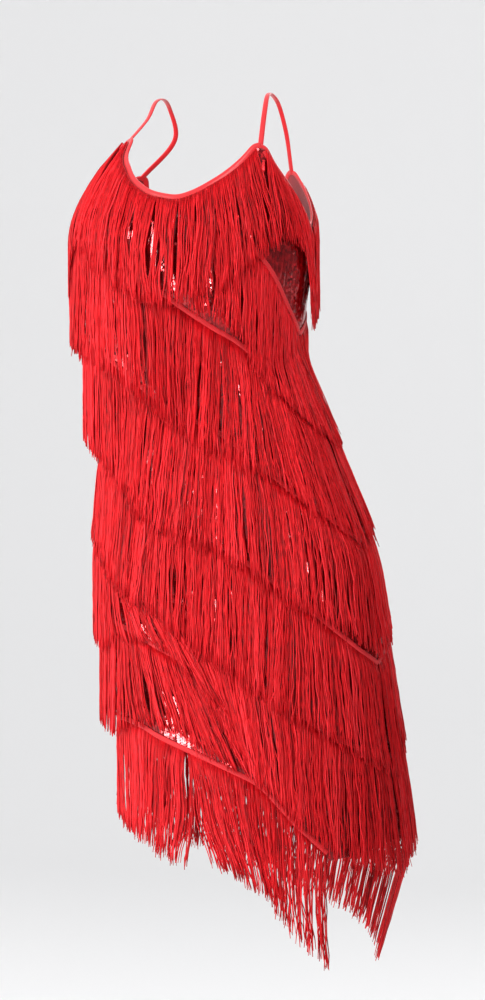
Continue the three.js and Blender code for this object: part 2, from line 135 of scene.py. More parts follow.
def section_at(z):
    """The level section at each height, smooth between the table's rows."""
    levels = SECTIONS[:, 0]
    z = np.clip(z, levels[0], levels[-1])
    i = np.clip(np.searchsorted(levels, z) - 1, 0, len(levels) - 2)
    before, after = np.maximum(i - 1, 0), np.minimum(i + 2, len(levels) - 1)
    span = levels[i + 1] - levels[i]
    t = ((z - levels[i]) / span)[..., None]
    low, high = SECTIONS[i, 1:], SECTIONS[i + 1, 1:]
    rise_low = (high - SECTIONS[before, 1:]) / (levels[i + 1] - levels[before])[..., None]
    rise_high = (SECTIONS[after, 1:] - low) / (levels[after] - levels[i])[..., None]
    values = smooth_between(t, span[..., None], low, high, rise_low, rise_high)
    return np.moveaxis(values, -1, 0)


def fold_height(angle, z):
    """How far the folds lift the cloth at each place."""
    height = 0
    for at, level, wide, tall, high, slant in FOLDS:
        away = (angle - at - slant * (z - level) / 100 + 180) % 360 - 180
        height = height + high * np.exp(-((away / wide) ** 2) - ((z - level) / tall) ** 2)
    return height


def skin(angle, z):
    """Points of the cloth's outer face."""
    x, y, half, front, back, turn = section_at(z)
    t, turn = np.radians(angle), np.radians(turn)
    lift = fold_height(angle, z)
    depth = np.where(np.cos(t) > 0, front, back) + lift
    across = (half + lift) * np.sin(t)
    ahead = -depth * np.cos(t)
    return np.stack([
        x + across * np.cos(turn) + ahead * np.sin(turn),
        y - across * np.sin(turn) + ahead * np.cos(turn),
        z + 0 * across,
    ], axis=-1)


def unit(vectors):
    """The same directions, each one long."""
    return vectors / np.maximum(np.linalg.norm(vectors, axis=-1, keepdims=True), 1e-9)


def skin_normal(angle, z):
    """Direction straight out of the cloth."""
    round_it = skin(angle + 0.5, z) - skin(angle - 0.5, z)
    down = skin(angle, z - 2) - skin(angle, z + 2)
    return unit(np.cross(down, round_it))


def edge_height(edge, angle):
    """Height of a cut edge: a smooth line between the level pairs that carry the straps."""
    at, level = edge[:, 0], edge[:, 1]
    i = np.clip(np.searchsorted(at, angle) - 1, 0, len(at) - 2)
    slope = np.diff(level) / np.diff(at)
    flat = np.abs(slope) < 1e-6
    sloped = np.zeros(len(at))
    sloped[1:-1] = (slope[1:] + slope[:-1]) / 2
    sloped[0], sloped[-1] = slope[0], slope[-1]
    start = np.where(np.r_[False, flat[:-1]][i], slope[i], sloped[i])
    end = np.where(np.r_[flat[1:], False][i], slope[i], sloped[i + 1])
    span = at[i + 1] - at[i]
    t = np.clip((angle - at[i]) / span, 0, 1)
    curve = smooth_between(t, span, level[i], level[i + 1], start, end)
    return np.where(flat[i], level[i], curve)


def distance_along(points):
    """Distance of each point from the first, along the line through them."""
    return np.r_[0, np.cumsum(np.linalg.norm(np.diff(points, axis=0), axis=1))]


class Socket:
    """A number in a material's nodes. Sums and products of it add Math nodes."""

    def __init__(self, tree, socket):
        self.tree, self.socket = tree, socket

    def reckon(self, operation, first, second):
        node = self.tree.add("ShaderNodeMath", {"operation": operation}, {0: first, 1: second})
        return Socket(self.tree, node.outputs[0])

    def __add__(self, other):
        return self.reckon("ADD", self, other)

    def __sub__(self, other):
        return self.reckon("SUBTRACT", self, other)

    def __mul__(self, other):
        return self.reckon("MULTIPLY", self, other)

    __radd__ = __add__


# Sockets of a Mix node that is set to colours, which share their names with its others.
MIX_FIRST = 6
MIX_SECOND = 7
MIX_RESULT = 2


class Finish:
    """The nodes of a material, or of the room, which all come from one method."""

    def __init__(self, name, room=None):
        self.material = room or bpy.data.materials.new(name)
        self.material.use_nodes = True
        self.tree = self.material.node_tree
        self.surface = self.tree.nodes["Background" if room else "Principled BSDF"]

    def add(self, kind, settings=None, inputs=None):
        """One node, with its settings first and then the values or links of its sockets."""
        node = self.tree.nodes.new(kind)
        for name, value in (settings or {}).items():
            if name == "stops":
                ends = node.color_ramp.elements
                while len(ends) < len(value):
                    ends.new(0.5)
                for stop, (place, colour) in zip(ends, value):
                    stop.position, stop.color = place, (*colour, 1)
            else:
                setattr(node, name, value)
        self.feed(node, inputs or {})
        return node

    def feed(self, node, inputs):
        """Gives sockets their values, or links them."""
        for name, value in inputs.items():
            if isinstance(value, Socket):
                value = value.socket
            if isinstance(value, bpy.types.NodeSocket):
                self.tree.links.new(value, node.inputs[name])
            else:
                node.inputs[name].default_value = value

    def number(self, socket):
        return Socket(self, socket)

    def attribute(self, name):
        return self.number(self.add("ShaderNodeAttribute", {"attribute_name": name}).outputs["Fac"])

    def blend(self, share, first, second):
        """One dye turning into another."""
        node = self.add(
            "ShaderNodeMix", {"data_type": "RGBA"},
            {"Factor": share, MIX_FIRST: (*first, 1), MIX_SECOND: (*second, 1)},
        )
        return node.outputs[MIX_RESULT]

    def raised(self, height, strength, distance):
        """The normal of a fine relief."""
        return self.add("ShaderNodeBump", {}, {
            "Height": height, "Strength": strength, "Distance": distance,
        }).outputs["Normal"]

    def own_uv(self):
        """The UV map that a piece carries, in metres."""
        return self.add("ShaderNodeUVMap", {"uv_map": "cloth_uv"}).outputs["UV"]


def colour(red, green, blue):
    """A dye as it looks on a card, 0 to 255, turned into light."""
    return tuple(
        (c / 255 / 12.92 if c < 11 else ((c / 255 + 0.055) / 1.055) ** 2.4)
        for c in (red, green, blue)
    )


cloth_finish = Finish("sequin_ground_cloth")
knit_place = cloth_finish.own_uv()
knit = cloth_finish.add(
    "ShaderNodeTexWave", {"wave_type": "BANDS", "bands_direction": "X"},
    {"Vector": knit_place, "Scale": 320.0, "Distortion": 1.5, "Detail": 1.0},
)
mottle = cloth_finish.add(
    "ShaderNodeTexNoise", {}, {"Vector": knit_place, "Scale": 60.0, "Detail": 3.0},
)
cloth_finish.feed(cloth_finish.surface, {
    "Base Color": cloth_finish.blend(
        mottle.outputs["Fac"], colour(120, 6, 16), colour(166, 14, 26),
    ),
    "Roughness": 0.5,
    "Sheen Weight": 0.3,
    "Normal": cloth_finish.raised(knit.outputs["Fac"], 0.3, 0.0003),
})

PANEL_THICK = 1.0
PANEL_COLUMNS = 72
PANEL_ROWS = 66
PANEL_INSET = 0.35        # the shell's outer face lies this far inside the form, under the sequins
SEAM_INSET = 0.08         # in degrees, on each side of a side seam
HIP_LEVEL = -450          # the uv's way round is measured at this height


def draped_grid(name, columns, rows, points, uv, finish, thickness):
    """A flat grid of cloth laid on its form. Points and uv run (column, row)."""
    bpy.ops.object.select_all(action="DESELECT")
    bpy.ops.mesh.primitive_grid_add(x_subdivisions=columns - 1, y_subdivisions=rows - 1, size=1)
    piece = bpy.context.object
    piece.name = piece.data.name = name
    mesh = piece.data
    at = np.empty(len(mesh.vertices) * 3)
    mesh.vertices.foreach_get("co", at)
    at = at.reshape(-1, 3)
    column = np.rint((at[:, 0] + 0.5) * (columns - 1)).astype(int)
    row = np.rint((0.5 - at[:, 1]) * (rows - 1)).astype(int)
    mesh.vertices.foreach_set("co", (points[column, row] * MM).ravel())
    corner = np.empty(len(mesh.loops), int)
    mesh.loops.foreach_get("vertex_index", corner)
    layer = mesh.uv_layers[0]
    layer.name = "cloth_uv"
    layer.data.foreach_set("uv", (uv[column, row][corner] * MM).ravel())
    mesh.materials.append(finish.material)
    solidify = piece.modifiers.new("wall", "SOLIDIFY")
    solidify.thickness = thickness * MM
    solidify.offset = -1
    solidify.use_even_offset = True
    bpy.ops.object.modifier_apply(modifier=solidify.name)
    bpy.ops.object.shade_smooth_by_angle(angle=math.radians(50))
    mesh.update()
    return piece


def panel(name, top, hem):
    """One cut panel, between its upper edge and its hem."""
    first, last = top[0, 0] + SEAM_INSET, top[-1, 0] - SEAM_INSET
    level = np.diff(top[:, 1]) == 0
    corners = top[np.r_[level, False] | np.r_[False, level], 0]
    angles = np.unique(np.r_[np.linspace(first, last, PANEL_COLUMNS - len(corners)), corners])
    share = np.linspace(0, 1, PANEL_ROWS)
    upper = edge_height(top, angles)
    lower = np.interp(angles, hem[:, 0], hem[:, 1])
    z = upper[:, None] + (lower - upper)[:, None] * share
    angle = angles[:, None] + 0 * z
    points = skin(angle, z) - PANEL_INSET * skin_normal(angle, z)
    along = distance_along(skin(angles, angles * 0 + HIP_LEVEL))
    uv = np.stack([along[:, None] + 0 * z, z], axis=-1)
    return draped_grid(name, len(angles), PANEL_ROWS, points, uv, cloth_finish, PANEL_THICK)


# Side, solid, upper edge, hem, width and length of the flat cut in metres, and its area in square
# metres with the seam allowances.
PANELS = (
    ("front", "front_panel", TOP_FRONT, HEM_FRONT, (0.44, 0.77), 0.26),
    ("back", "back_panel", TOP_BACK, HEM_BACK, (0.48, 0.73), 0.27),
)
cloth = {}
for side, node, top, hem, _, _ in PANELS:
    cloth[side] = panel(f"{side}_cloth", top, hem)
    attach(cloth[side], "root")
    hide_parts(node)

# --- Sequins
# Small round shiny discs threaded on upright strings that are sewn down all over both panels.
# Each disc overlaps the next below it. A string turns a little one way and then the other, so
# short runs of discs catch the light together while the rest stays dark.
SEQUIN_RADIUS = 1.95
SEQUIN_STEP = 2.75
SEQUIN_SIDES = 6
SEQUIN_OUT = 0.65         # from the cloth's form to a disc's middle
STRINGS_ROUND = 108
STRING_INSET = 1.0        # in degrees, from a side seam to the first string
STRING_BELOW_EDGE = 1.6
STRING_PAST_HEM = 1.2
WANDER = 0.25             # in degrees, how far a string strays sideways
DISC_RUN = 9              # discs over which a string wanders or rocks one way
LIFT_RUN = 8              # discs over which their lift changes
LOOSE_SHARE = 0.03        # discs that sit askew, by LOOSE_TILT degrees or so
LOOSE_TILT = 16
FLASH_SHARE = 0.85        # discs of a flash that face its way, within the two spreads
FLASH_BEARING_SPREAD = 1.1
FLASH_RISE_SPREAD = 3
# Where a few neighbouring strings lie flat together and flash: angle, z, half width in degrees,
# half height in mm, and the level bearing and rise in degrees that their discs face.
FLASHES = (
    (-17, -153, 2.0, 12, -2, 0), (-6.2, -167, 2.6, 24, -2, 0), (-3, -168, 1.3, 8, -2, 0),
    (-0.2, -186, 2.4, 14, -2, 0), (5, -171, 1.8, 52, -3, 0), (20.5, -210, 3.2, 27, 30, 13),
    (-20, -590, 6, 14, -2, 9), (-15, -662, 5, 34, -2, 10), (-9, -682, 3, 26, -2, 11),
    (-6.5, -738, 3.0, 21, -3, 12),
)

sequin_finish = Finish("red_sequin_film")
glint = sequin_finish.attribute("tone")
sequin_finish.feed(sequin_finish.surface, {
    "Base Color": sequin_finish.add("ShaderNodeValToRGB", {"stops": (
        (0.0, colour(112, 2, 10)), (0.5, colour(176, 6, 18)), (1.0, colour(224, 30, 40)),
    )}, {"Fac": glint}).outputs["Color"],
    "Metallic": 0.7,
    "Roughness": 0.14 + glint * 0.14,
    "Coat Weight": 0.6,
    "Coat Roughness": 0.04,
})


def new_piece(name, mesh):
    """An object for a mesh that is whole."""
    piece = bpy.data.objects.new(name, mesh)
    bpy.context.scene.collection.objects.link(piece)
    return piece


def scattered_mesh(name, points, faces, finish, tone, uv=None):
    """Many copies of one small shape in one mesh. points runs (copy, corner, xyz)."""
    copies, corners_each = points.shape[:2]
    mesh = bpy.data.meshes.new(name)
    starts = np.arange(copies)[:, None] * corners_each
    sizes = np.array([len(face) for face in faces])
    corner_of = np.concatenate([np.array(face) for face in faces])
    mesh.vertices.add(copies * corners_each)
    mesh.vertices.foreach_set("co", (points * MM).ravel())
    mesh.loops.add(copies * len(corner_of))
    mesh.loops.foreach_set("vertex_index", (starts + corner_of).ravel())
    mesh.polygons.add(copies * len(faces))
    first = np.r_[0, np.cumsum(sizes)[:-1]]
    mesh.polygons.foreach_set(
        "loop_start", (np.arange(copies)[:, None] * len(corner_of) + first).ravel()
    )
    mesh.polygons.foreach_set("use_smooth", np.ones(copies * len(faces), bool))
    shade = mesh.attributes.new("tone", "FLOAT", "POINT")
    shade.data.foreach_set("value", np.broadcast_to(tone, (copies, corners_each)).ravel())
    if uv is not None:
        layer = mesh.uv_layers.new(name="cloth_uv")
        layer.data.foreach_set("uv", uv[:, corner_of].ravel())
    mesh.update(calc_edges=True)
    mesh.validate()
    mesh.materials.append(finish.material)
    return new_piece(name, mesh)


def drifting(draw, count, reach):
    """Random numbers that change slowly, one for each of count discs down a string."""
    knots = draw.normal(0, 1, int(count / reach) + 3)
    return np.interp(np.arange(count) / reach, np.arange(len(knots)), knots)


def sequins(side, top, hem, seed):
    """All the discs of one panel as one mesh."""
    draw = np.random.default_rng(seed)
    angles, levels, lifts, rocks = [], [], [], []
    for string in np.linspace(top[0, 0] + STRING_INSET, top[-1, 0] - STRING_INSET, STRINGS_ROUND):
        start = edge_height(top, string) - STRING_BELOW_EDGE - draw.uniform(0, SEQUIN_STEP)
        z = np.arange(start, np.interp(string, hem[:, 0], hem[:, 1]) + STRING_PAST_HEM, -SEQUIN_STEP)
        angles.append(string + WANDER * drifting(draw, len(z), DISC_RUN))
        levels.append(z)
        lifts.append(1 + 3 * drifting(draw, len(z), LIFT_RUN))
        rocks.append(5 * drifting(draw, len(z), DISC_RUN))
    angle, z = np.concatenate(angles), np.concatenate(levels)
    normal = skin_normal(angle, z)
    centre = skin(angle, z) + normal * SEQUIN_OUT
    round_it = unit(skin(angle + 0.5, z) - skin(angle - 0.5, z))
    down = np.cross(round_it, normal)
    down *= -np.sign(down[:, 2:])
    count = len(angle)
    loose = draw.random(count) < LOOSE_SHARE
    lift = np.concatenate(lifts) + draw.normal(1, 1.5, count) + loose * draw.normal(0, LOOSE_TILT, count)
    rock = np.concatenate(rocks) + draw.normal(0, 1.5, count) + loose * draw.normal(0, LOOSE_TILT, count)
    lift, rock = np.radians(lift), np.radians(rock)
    along = round_it * np.cos(rock)[:, None] + normal * np.sin(rock)[:, None]
    fall = down * np.cos(lift)[:, None] + normal * np.sin(lift)[:, None]
    for at, level, wide, tall, bearing, rise in FLASHES:
        flat = (np.abs(angle - at) < wide) & (np.abs(z - level) < tall) & (draw.random(count) < FLASH_SHARE)
        round_to = np.radians(bearing + draw.normal(0, FLASH_BEARING_SPREAD, flat.sum()))
        up_to = np.radians(rise + draw.normal(0, FLASH_RISE_SPREAD, flat.sum()))
        face = np.stack([
            np.sin(round_to) * np.cos(up_to), -np.cos(round_to) * np.cos(up_to), np.sin(up_to),
        ], axis=1)
        along[flat] = unit(np.cross(face, down[flat]))
        fall[flat] = unit(np.cross(along[flat], face))
    turn = draw.random(count) * math.tau
    spoke = turn[:, None] + np.arange(SEQUIN_SIDES) * math.tau / SEQUIN_SIDES
    points = (
        centre[:, None]
        + SEQUIN_RADIUS * np.cos(spoke)[..., None] * along[:, None]
        + SEQUIN_RADIUS * np.sin(spoke)[..., None] * fall[:, None]
    )
    tone = np.clip(draw.normal(0.42, 0.2, (count, 1)), 0, 1)
    winding = np.cross(points[:, 1] - points[:, 0], points[:, 2] - points[:, 0])
    facing = np.einsum("ij,ij->i", winding, normal)
    points[facing < 0] = points[facing < 0][:, ::-1]
    return scattered_mesh(f"{side}_sequins", points, [tuple(range(SEQUIN_SIDES))], sequin_finish, tone)


trims = {"front": [], "back": []}
for seed, (side, _, top, hem, _, _) in enumerate(PANELS):
    discs = sequins(side, top, hem, 11 + seed)
    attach(discs, "root")
    trims[side].append(discs)

# --- Neckline and armhole bindings
# Bands of smooth red satin jersey folded over the cut edges and sewn down with one row of
# stitches. The neckline band is wider than the two thin armhole bands.
NECK_BAND = 6.2
ARM_BAND = 4.6
BAND_HALF = 1.3
EDGE_GAP = 0.3
BAND_STATION = 1.6        # from one section of a band to the next
EDGE_SAMPLES = 240
HALF_WALL = 0.75          # the band's middle lies this far inside the cloth's form
GROOVE = 0.84             # share of its half thickness that is left under the stitches
STITCH_STEP = 3.1
STITCH_LONG = 2.2
STITCH_WIDE = 0.55
STITCH_DIP = 0.15         # its ends lie this far under the surface, and its middle stands proud
STITCH_PROUD = 0.26
STITCH_ROW = 1.3          # from the band's lower edge up to its row of stitches

satin_finish = Finish("red_satin_binding")
satin_place = satin_finish.own_uv()
satin_grain = satin_finish.add(
    "ShaderNodeTexNoise", {}, {"Vector": satin_place, "Scale": 900.0, "Detail": 2.0},
)
satin_finish.feed(satin_finish.surface, {
    "Base Color": satin_finish.blend(
        satin_grain.outputs["Fac"], colour(206, 20, 30), colour(232, 34, 42),
    ),
    "Roughness": 0.38,
    "Sheen Weight": 0.25,
    "Normal": satin_finish.raised(satin_grain.outputs["Fac"], 0.12, 0.0002),
})
thread_finish = Finish("red_sewing_thread")
thread_finish.feed(thread_finish.surface, {
    "Base Color": thread_finish.blend(
        thread_finish.attribute("tone"), colour(150, 8, 18), colour(214, 30, 38),
    ),
    "Roughness": 0.45,
})


def places_at(at, along, field):
    """A field of points or directions read at other distances along its line."""
    return np.stack([np.interp(at, along, field[:, k]) for k in range(3)], axis=1)


def frames_along(points, normals):
    """Direction of run and the direction up across a band, at each point of its path."""
    run = unit(np.gradient(points, axis=0))
    up = unit(np.cross(normals, run))
    return run, up


def tube_mesh(name, rings, uv, finish):
    """A closed band from rings of points (station, corner), with flat ends."""
    stations, corners_each = rings.shape[:2]
    station, corner = np.meshgrid(np.arange(stations - 1), np.arange(corners_each), indexing="ij")
    after = (corner + 1) % corners_each
    quads = np.stack([
        station * corners_each + corner, station * corners_each + after,
        (station + 1) * corners_each + after, (station + 1) * corners_each + corner,
    ], axis=-1).reshape(-1, 4)
    last = (stations - 1) * corners_each
    ends = [tuple(range(corners_each))[::-1], tuple(range(last, last + corners_each))]
    mesh = bpy.data.meshes.new(name)
    mesh.from_pydata((rings.reshape(-1, 3) * MM).tolist(), [], quads.tolist() + ends)
    layer = mesh.uv_layers.new(name="cloth_uv")
    used = np.empty(len(mesh.loops), int)
    mesh.loops.foreach_get("vertex_index", used)
    layer.data.foreach_set("uv", (uv.reshape(-1, 2)[used] * MM).ravel())
    mesh.materials.append(finish.material)
    piece = new_piece(name, mesh)
    bpy.ops.object.select_all(action="DESELECT")
    piece.select_set(True)
    bpy.context.view_layer.objects.active = piece
    bpy.ops.object.mode_set(mode="EDIT")
    bpy.ops.mesh.select_all(action="SELECT")
    bpy.ops.mesh.normals_make_consistent(inside=False)
    bpy.ops.object.mode_set(mode="OBJECT")
    bpy.ops.object.shade_smooth_by_angle(angle=math.radians(55))
    return piece


def stitches(name, points, run, across, out, seed):
    """A row of short stitches: lozenges that dip into the cloth at both ends."""
    draw = np.random.default_rng(seed)
    along = distance_along(points)
    at = np.arange(STITCH_STEP / 2, along[-1] - STITCH_LONG / 2, STITCH_STEP)
    middle = places_at(at, along, points)
    forth, side, away = (unit(places_at(at, along, field)) for field in (run, across, out))
    side = unit(side + forth * draw.normal(0, 0.06, (len(at), 1)))
    half, wide = STITCH_LONG / 2, STITCH_WIDE / 2
    corners = np.stack([
        middle - forth * half - away * STITCH_DIP,
        middle + forth * half - away * STITCH_DIP,
        middle - side * wide,
        middle + side * wide,
        middle - forth * half * 0.55 + away * STITCH_PROUD,
        middle + forth * half * 0.55 + away * STITCH_PROUD,
    ], axis=1)
    faces = [(0, 2, 4), (4, 2, 5), (5, 2, 1), (0, 4, 3), (4, 5, 3), (5, 1, 3), (0, 3, 2), (1, 2, 3)]
    tone = draw.random((len(at), 1))
    return scattered_mesh(name, corners, faces, thread_finish, tone)


def band_profile(width):
    """Outline of a folded band as (up, out): a stitched groove low down and a round fold on top."""
    low, high = EDGE_GAP, EDGE_GAP + width
    outside = [
        (low, 0.72), (low + 0.7, 0.96), (low + STITCH_ROW, GROOVE), (low + 1.9, 1.0),
        (low + width * 0.55, 1.08), (high - 1.0, 0.9), (high - 0.25, 0.5),
    ]
    return np.array(
        [(up, out * BAND_HALF) for up, out in outside] + [(high, 0)]
        + [(up, -out * BAND_HALF) for up, out in reversed(outside)]
    )


def edge_path(pieces):
    """Points and normals along cut edges, given as (edge, first angle, last angle)."""
    points, normals = [], []
    for edge, first, last in pieces:
        angles = np.linspace(first, last, EDGE_SAMPLES)
        z = edge_height(edge, angles)
        normal = skin_normal(angles, z)
        points.append(skin(angles, z) - HALF_WALL * normal)
        normals.append(normal)
    points, normals = np.concatenate(points), np.concatenate(normals)
    along = distance_along(points)
    at = np.linspace(0, along[-1], int(along[-1] / BAND_STATION))
    points = places_at(at, along, points)
    normals = unit(places_at(at, along, normals))
    smooth = np.array([1, 2, 3, 2, 1]) / 9
    for _ in range(2):
        padded = np.pad(points, ((2, 2), (0, 0)), mode="reflect", reflect_type="odd")
        points = np.stack([np.convolve(padded[:, k], smooth, "valid") for k in range(3)], axis=1)
    return points, normals, at


def binding(name, pieces, width, seed):
    """A folded band along cut edges, with a row of stitches outside and one inside."""
    points, normals, at = edge_path(pieces)
    run, up = frames_along(points, normals)
    profile = band_profile(width)
    pucker = 1 + 0.05 * np.sin(at / 4.1 + seed) * np.sin(at / 23.0)
    rings = (
        points[:, None]
        + profile[None, :, :1] * up[:, None]
        + profile[None, :, 1:] * pucker[:, None, None] * normals[:, None]
    )
    lap = distance_along(profile)
    uv = np.stack(np.broadcast_arrays(at[:, None], lap[None]), axis=-1)
    band = tube_mesh(name, rings, uv, satin_finish)
    seam = points + up * (EDGE_GAP + STITCH_ROW)
    thread = [
        stitches(
            f"{name}_stitches_{face}", seam + normals * sign * BAND_HALF * GROOVE,
            run, up, normals * sign, seed + k,
        )
        for k, (face, sign) in enumerate((("out", 1), ("in", -1)))
    ]
    return [band, *thread]


BINDINGS = (
    ("neck_binding_front", ((TOP_FRONT, -54.4, 43.9),), NECK_BAND, "front"),
    ("neck_binding_back", ((TOP_BACK, 129.8, 230.2),), NECK_BAND, "back"),
    ("armhole_binding_left", ((TOP_FRONT, 44.1, 86), (TOP_BACK, 86.2, 129.7)), ARM_BAND, "front"),
    ("armhole_binding_right", ((TOP_BACK, 230.3, 274), (TOP_FRONT, -85.8, -54.6)), ARM_BAND, "back"),
)
for seed, (node, pieces, width, side) in enumerate(BINDINGS):
    made = binding(node + "_cloth", pieces, width, 30 + 5 * seed)
    for piece in made:
        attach(piece, "root")
    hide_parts(node)
    trims[side] += made

# --- Shoulder straps
# Two thin tubes of the binding cloth, turned inside out and pressed. Each is sewn to the front
# and back points of the dress and runs over a shoulder.
STRAP_WIDE = 6.0
STRAP_HALF = 1.1
STRAP_MIDDLE = np.array([
    (66, 42, -38), (64, 21, -8), (63, 0, 0), (65, -17, -4), (68, -36, -26),
], float)
STRAP_RINGS = 90
STRAP_CORNERS = 14
STRAP_WAIST = 0.16        # a strap is narrower by this share over the shoulder


def smooth_path(knots, count):
    """An even path through a few points."""
    reach = np.r_[0, np.cumsum(np.linalg.norm(np.diff(knots, axis=0), axis=1) ** 0.5)]
    slope = np.gradient(knots, reach, axis=0)
    at = np.linspace(0, reach[-1], count * 4)
    i = np.clip(np.searchsorted(reach, at) - 1, 0, len(knots) - 2)
    span = (reach[i + 1] - reach[i])[:, None]
    t = (at - reach[i])[:, None] / span
    path = smooth_between(t, span, knots[i], knots[i + 1], slope[i], slope[i + 1])
    along = distance_along(path)
    even = np.linspace(0, along[-1], count)
    return places_at(even, along, path), even


def strap(name, side, back_edge, front_edge):
    """A pressed tube from the back point over the shoulder to the front point."""
    ends = []
    for edge, (first, last) in ((TOP_BACK, back_edge), (TOP_FRONT, front_edge)):
        angles = np.array([first, last], float)
        z = edge_height(edge, angles)
        ends.append((
            (skin(angles, z) - HALF_WALL * skin_normal(angles, z)).mean(axis=0) + (0, 0, EDGE_GAP),
            unit(skin(angles, z)[1] - skin(angles, z)[0]),
        ))
    knots = np.vstack([ends[0][0], STRAP_MIDDLE * (side, 1, 1), ends[1][0]])
    path, at = smooth_path(knots, STRAP_RINGS)
    run = unit(np.gradient(path, axis=0))
    share = np.linspace(-1, 1, STRAP_RINGS)[:, None]
    level = np.array([1.0, 0, 0])
    end = np.where(share < 0, -ends[0][1], ends[1][1])
    wide = level + (end - level) * np.abs(share)
    wide = unit(wide - run * np.sum(wide * run, axis=1, keepdims=True))
    out = np.cross(run, wide)
    turn = np.linspace(0, math.tau, STRAP_CORNERS, endpoint=False)
    across = STRAP_WIDE / 2 * np.sign(np.cos(turn)) * np.abs(np.cos(turn)) ** 0.7
    proud = STRAP_HALF * np.sign(np.sin(turn)) * np.abs(np.sin(turn)) ** 0.8
    narrow = 1 - STRAP_WAIST * np.clip(1 - np.abs(share), 0, 1)
    waver = 0.15 * np.sin(at / 7.0 + side)[:, None, None]
    rings = (
        path[:, None] + (across * narrow)[..., None] * wide[:, None]
        + (proud[None, :, None] + waver * (np.sin(turn) > 0)[None, :, None]) * out[:, None]
    )
    uv = np.stack(np.broadcast_arrays(at[:, None], turn[None] * 2.2), axis=-1)
    return tube_mesh(name, rings, uv, satin_finish)


for name, side, back_edge, front_edge in (
    ("strap_left", 1, (127.5, 132), (41.5, 46.5)),
    ("strap_right", -1, (228, 232.5), (-57, -52)),
):
    tube = strap(name + "_cloth", side, back_edge, front_edge)
    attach(tube, "root")
    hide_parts(name)

# --- Fringe bands
# Long chainette fringe: fine lustrous cords that hang from a narrow header tape, which is sewn
# to the cloth along its middle. The rows slant down from the wearer's right to the left. The
# cords cling together in uneven locks, swing with the hips and end raggedly.
TAPE_WIDE = 6.0
TAPE_OUT = 1.1
TAPE_CROWN = 1.1
CORD_RADIUS = 0.68
CORD_STEP = 1.16
CORD_LIFT = 0.6           # from the tape's foot out to the cords
TUCKED_LIFT = 1.3         # and further, where they start behind the tape's upper half
CORD_RISE = 0.04          # cords stand off this much more for each mm that they fall
CORD_BENDS = 10
CORD_SIDES = 3
STEPS_A_BEND = 2          # a cord's way is felt out this many times for each bend
BACK_SPACING = 1.1        # cords at the back are this much further apart
TUCKED = 2.2              # cords start this far above the tape's middle, hidden by it
BELOW = -2.4              # or this far below, in its lower edge
UNDER_EDGE = 2.6          # from the neckline's cut edge down to the middle of its tape
UNDER_ARMHOLE = 3.0
OVER_HEM = 6.0

# Inner and outer cords: spacing as a share of the step, and how far they stand out.
LAYERS = ((1.0, 0.5), (1.1, 1.7))
# How cords differ. Two numbers are the least and the most.
LOCK_CORDS = (3, 11)
LOCK_PULL = (0.15, 0.8)
CORD_PULL = (0.5, 1.15)
NECK_PULL = 0.5           # the neckline's cords gather less
PULL_FROM = 6
PULL_OVER = 75
STRAY_SHARE = 0.03
STRAY_DRIFT = 0.09
SHORT_SHARE = 0.06
SHORT_LENGTH = (0.78, 0.95)
WAVE_HEIGHT = (0.25, 1.2)
WAVE_LENGTH = (28, 70)
LOOSE_END = 36            # the last stretch of a cord, which turns aside and curls
END_ASIDE = 2.0
CURL_HEIGHT = (0, 1.1)
THICKNESS = (0.85, 1.15)
END_THICKNESS = 0.6

# Angle and how far the cords swing sideways for each mm that they fall.
STRAIGHT = ((-90, 0), (280, 0))
NECK_SWING = ((-52, -0.12), (-44, -0.03), (0, 0), (34, 0.03), (41, 0.12))
ARM_RIGHT_SWING = ((-84, 0), (-66, 0.02), (-57, 0.12))
ARM_LEFT_SWING = ((47, -0.08), (51, 0.16), (60, 0.34), (70, 0.28), (80, 0.1))
ARM_BACK_SWING = ((95, 0), (120, 0.03), (127, 0.1), (233, -0.1), (240, 0))
ROW4_SWING = (
    (-86, -0.1), (-62, -0.05), (-50, 0.0), (-42, 0.1), (-39, 0.3), (-30, 0.62), (-12, 0.6), (3, 0.42),
    (20, 0.16), (40, 0),
)
ROW5_SWING = (
    (-86, 0), (-42, -0.04), (-35.5, -0.04), (-34, 0.16), (-22, 0.34), (5, 0.55),
)
HEM_SWING = (
    (-86, 0.2), (-62, 0.1), (-40, 0.04), (-9, 0.02), (-4, 0.2), (10, 0.14), (30, 0.06), (60, 0),
)

# Angle and share of the band's length that the cords have there.
EVEN = ((-90, 1), (280, 1))
ARM_LENGTHS = ((47, 0.98), (56, 0.9), (64, 0.96), (70, 1.15), (80, 1.2))
NECK_LENGTHS = ((-52, 1), (24, 1), (34, 0.92), (41, 0.9))
ROW4_LENGTHS = ((-86, 1), (-46, 0.98), (-40, 0.82), (-28, 0.84), (-14, 1), (86, 1))
ROW5_LENGTHS = (
    (-86, 0.88), (-42, 0.98), (-34, 0.86), (-24, 0.8), (-14, 0.78), (-6, 0.88), (5, 1),
)
BUST_LENGTHS = ((13, 0.74), (27, 0.84), (36, 0.88), (42, 1.02), (86, 1.02))
MIDDLE_LENGTHS = (
    (-86, 0.91), (-50, 1.0), (-20, 1.06), (40, 1.08), (70, 1), (86, 0.98),
)
ROW1_LENGTHS = (
    (-86, 0.91), (-56, 1.04), (-40, 1.12), (-13, 1.12), (4, 1.07), (43, 1.09), (70, 1), (86, 0.98),
)
BACK_LENGTHS = ((86, 1), (235, 1), (274, 0.91))
HEM_LENGTHS = ((-86, 0.72), (-66, 0.86), (-48, 0.97), (-36, 1), (46, 1))
HEM_BACK_LENGTHS = ((88, 1), (215, 1), (245, 0.9), (274, 0.72))

# Cords of the hem's bands hang free this far below their roots, and draw in by a share of their
# fall.
FREE_AFTER = 16
DRAWN_IN = {"hem_front": 0.01, "hem_back": 0.3}
